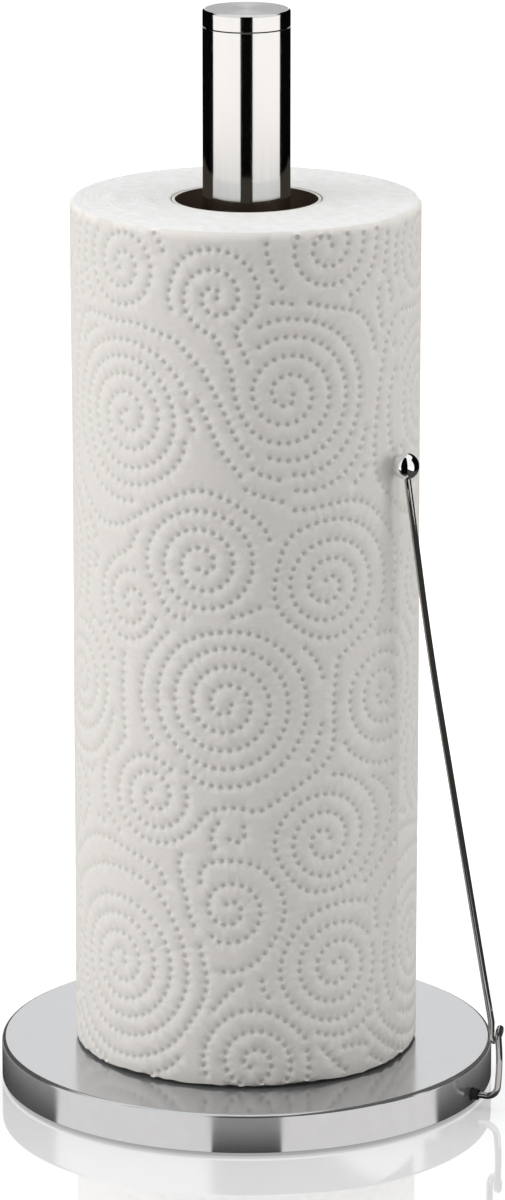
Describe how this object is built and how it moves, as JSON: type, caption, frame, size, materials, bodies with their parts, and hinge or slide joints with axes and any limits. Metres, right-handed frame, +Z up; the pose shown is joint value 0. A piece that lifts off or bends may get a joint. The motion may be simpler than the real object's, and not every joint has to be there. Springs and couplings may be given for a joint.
{
  "type": "paper towel holder",
  "caption": "Free-standing paper towel holder: weighted round steel base, capped pole, sprung wire arm with a ball that presses on the roll.",
  "frame": {"origin": "on the pole's axis, in the plane of the table the holder stands on", "axes": "+Z up along the pole; the wire arm stands at the +X side, 24.9 degrees towards -Y"},
  "size_m": [0.1525, 0.15, 0.33],
  "materials": {
    "brushed_cover": "satin",
    "polished_steel": "polished",
    "plated_steel": "satin",
    "cast_iron": "matte",
    "black_plastic": "matte",
    "rubber": "matte",
    "cardboard": "matte",
    "towel_paper": "matte"
  },
  "bodies": {
    "base": {"base_cover": "brushed_cover", "base_weight": "cast_iron", "under_plate": "black_plastic", "non_slip_pad": "rubber", "plate_screw_1": "plated_steel", "plate_screw_2": "plated_steel", "plate_screw_3": "plated_steel", "pole_tube": "polished_steel", "pole_cap": "polished_steel", "cap_insert": "black_plastic", "pole_foot_plug": "plated_steel", "pole_bolt": "plated_steel", "pole_washer": "plated_steel", "pole_spring_washer": "plated_steel", "arm_foot": "polished_steel", "arm_grommet": "rubber", "arm_anchor_block": "plated_steel", "anchor_screw_1": "plated_steel", "anchor_screw_2": "plated_steel"},
    "arm": {"arm_rod": "polished_steel", "arm_ball": "polished_steel"},
    "core": {"cardboard_core": "cardboard"},
    "roll": {"paper_roll": "towel_paper"}
  },
  "joints": [
    {"name": "arm_swing", "type": "hinge", "parent": "base", "child": "arm", "pos_m": [0.07361, -0.03417, 0.028], "axis": [0.0743, 0.9972, 0], "range_deg": [0, 18], "stiffness_Nm_per_rad": 1, "springref_deg": -15},
    {"name": "roll_lift", "type": "slide", "parent": "base", "child": "core", "axis": [0, 0, 1], "range_m": [0, 0.32]},
    {"name": "roll_spin", "type": "hinge", "parent": "core", "child": "roll", "pos_m": [0, 0, 0.1433], "axis": [0, 0, 1], "continuous": true}
  ]
}
